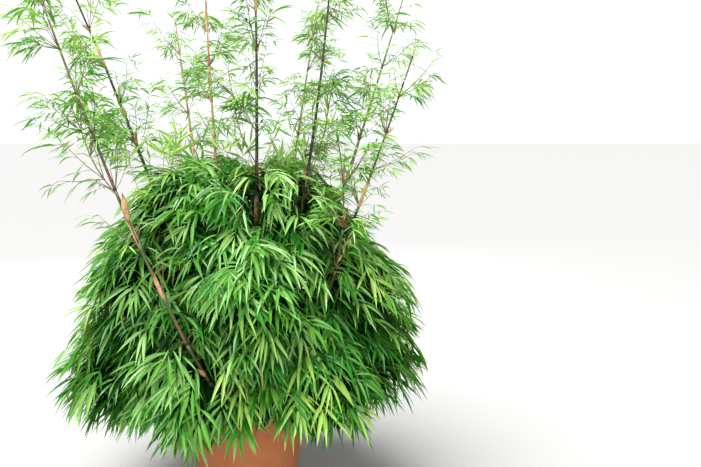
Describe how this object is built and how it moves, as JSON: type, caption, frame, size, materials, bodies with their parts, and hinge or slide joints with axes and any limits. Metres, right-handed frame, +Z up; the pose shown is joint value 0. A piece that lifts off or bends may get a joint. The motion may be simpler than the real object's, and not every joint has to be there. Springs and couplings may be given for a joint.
{
  "type": "potted bamboo",
  "caption": "Clump of slender bamboo with tall leafy canes over a dome of drooping leaf sprays, in a plain round clay pot.",
  "frame": {"origin": "centre of the pot's flat underside", "axes": "+Z up; -Y is the front, where the cane that leans out hangs to the left (-X)"},
  "size_m": [1.5405, 1.4758, 2.4799],
  "materials": {
    "red_clay": "matt fired clay",
    "potting_soil": "rough crumbs",
    "bamboo_cane": "smooth waxy skin",
    "leaves": "thin satin leaves"
  },
  "bodies": {
    "root": {"pot": "red_clay", "soil": "potting_soil", "cane_front_left": "bamboo_cane", "cane_left": "bamboo_cane", "cane_middle_back": "bamboo_cane", "cane_middle": "bamboo_cane", "cane_middle_right": "bamboo_cane", "cane_right": "bamboo_cane", "cane_front_right": "bamboo_cane", "cane_back_right": "bamboo_cane", "cane_back_left": "bamboo_cane", "cane_short_front": "bamboo_cane", "skirt_mass_1": "leaves", "skirt_mass_2": "leaves", "skirt_mass_3": "leaves", "skirt_mass_4": "leaves", "skirt_mass_5": "leaves", "skirt_mass_6": "leaves", "skirt_mass_7": "leaves", "flank_mass_1": "leaves", "flank_mass_2": "leaves", "flank_mass_3": "leaves", "flank_mass_4": "leaves", "flank_mass_5": "leaves", "flank_mass_6": "leaves", "shoulder_mass_1": "leaves", "shoulder_mass_2": "leaves", "shoulder_mass_3": "leaves", "shoulder_mass_4": "leaves", "plume_front_left": "leaves", "plume_left": "leaves", "plume_middle_back": "leaves", "plume_middle": "leaves", "plume_middle_right": "leaves", "plume_right": "leaves", "plume_front_right": "leaves", "plume_back_right": "leaves", "plume_back_left": "leaves", "plume_short_front": "leaves", "skirt_cane_1": "bamboo_cane", "skirt_cane_2": "bamboo_cane", "skirt_cane_3": "bamboo_cane", "skirt_cane_4": "bamboo_cane", "skirt_cane_5": "bamboo_cane", "skirt_cane_6": "bamboo_cane", "skirt_cane_7": "bamboo_cane", "flank_cane_1": "bamboo_cane", "flank_cane_2": "bamboo_cane", "flank_cane_3": "bamboo_cane", "flank_cane_4": "bamboo_cane", "flank_cane_5": "bamboo_cane", "flank_cane_6": "bamboo_cane", "bough_front_left": "bamboo_cane", "bough_left": "bamboo_cane", "bough_middle": "bamboo_cane", "bough_middle_right": "bamboo_cane", "bough_back_right": "bamboo_cane"}
  },
  "joints": []
}
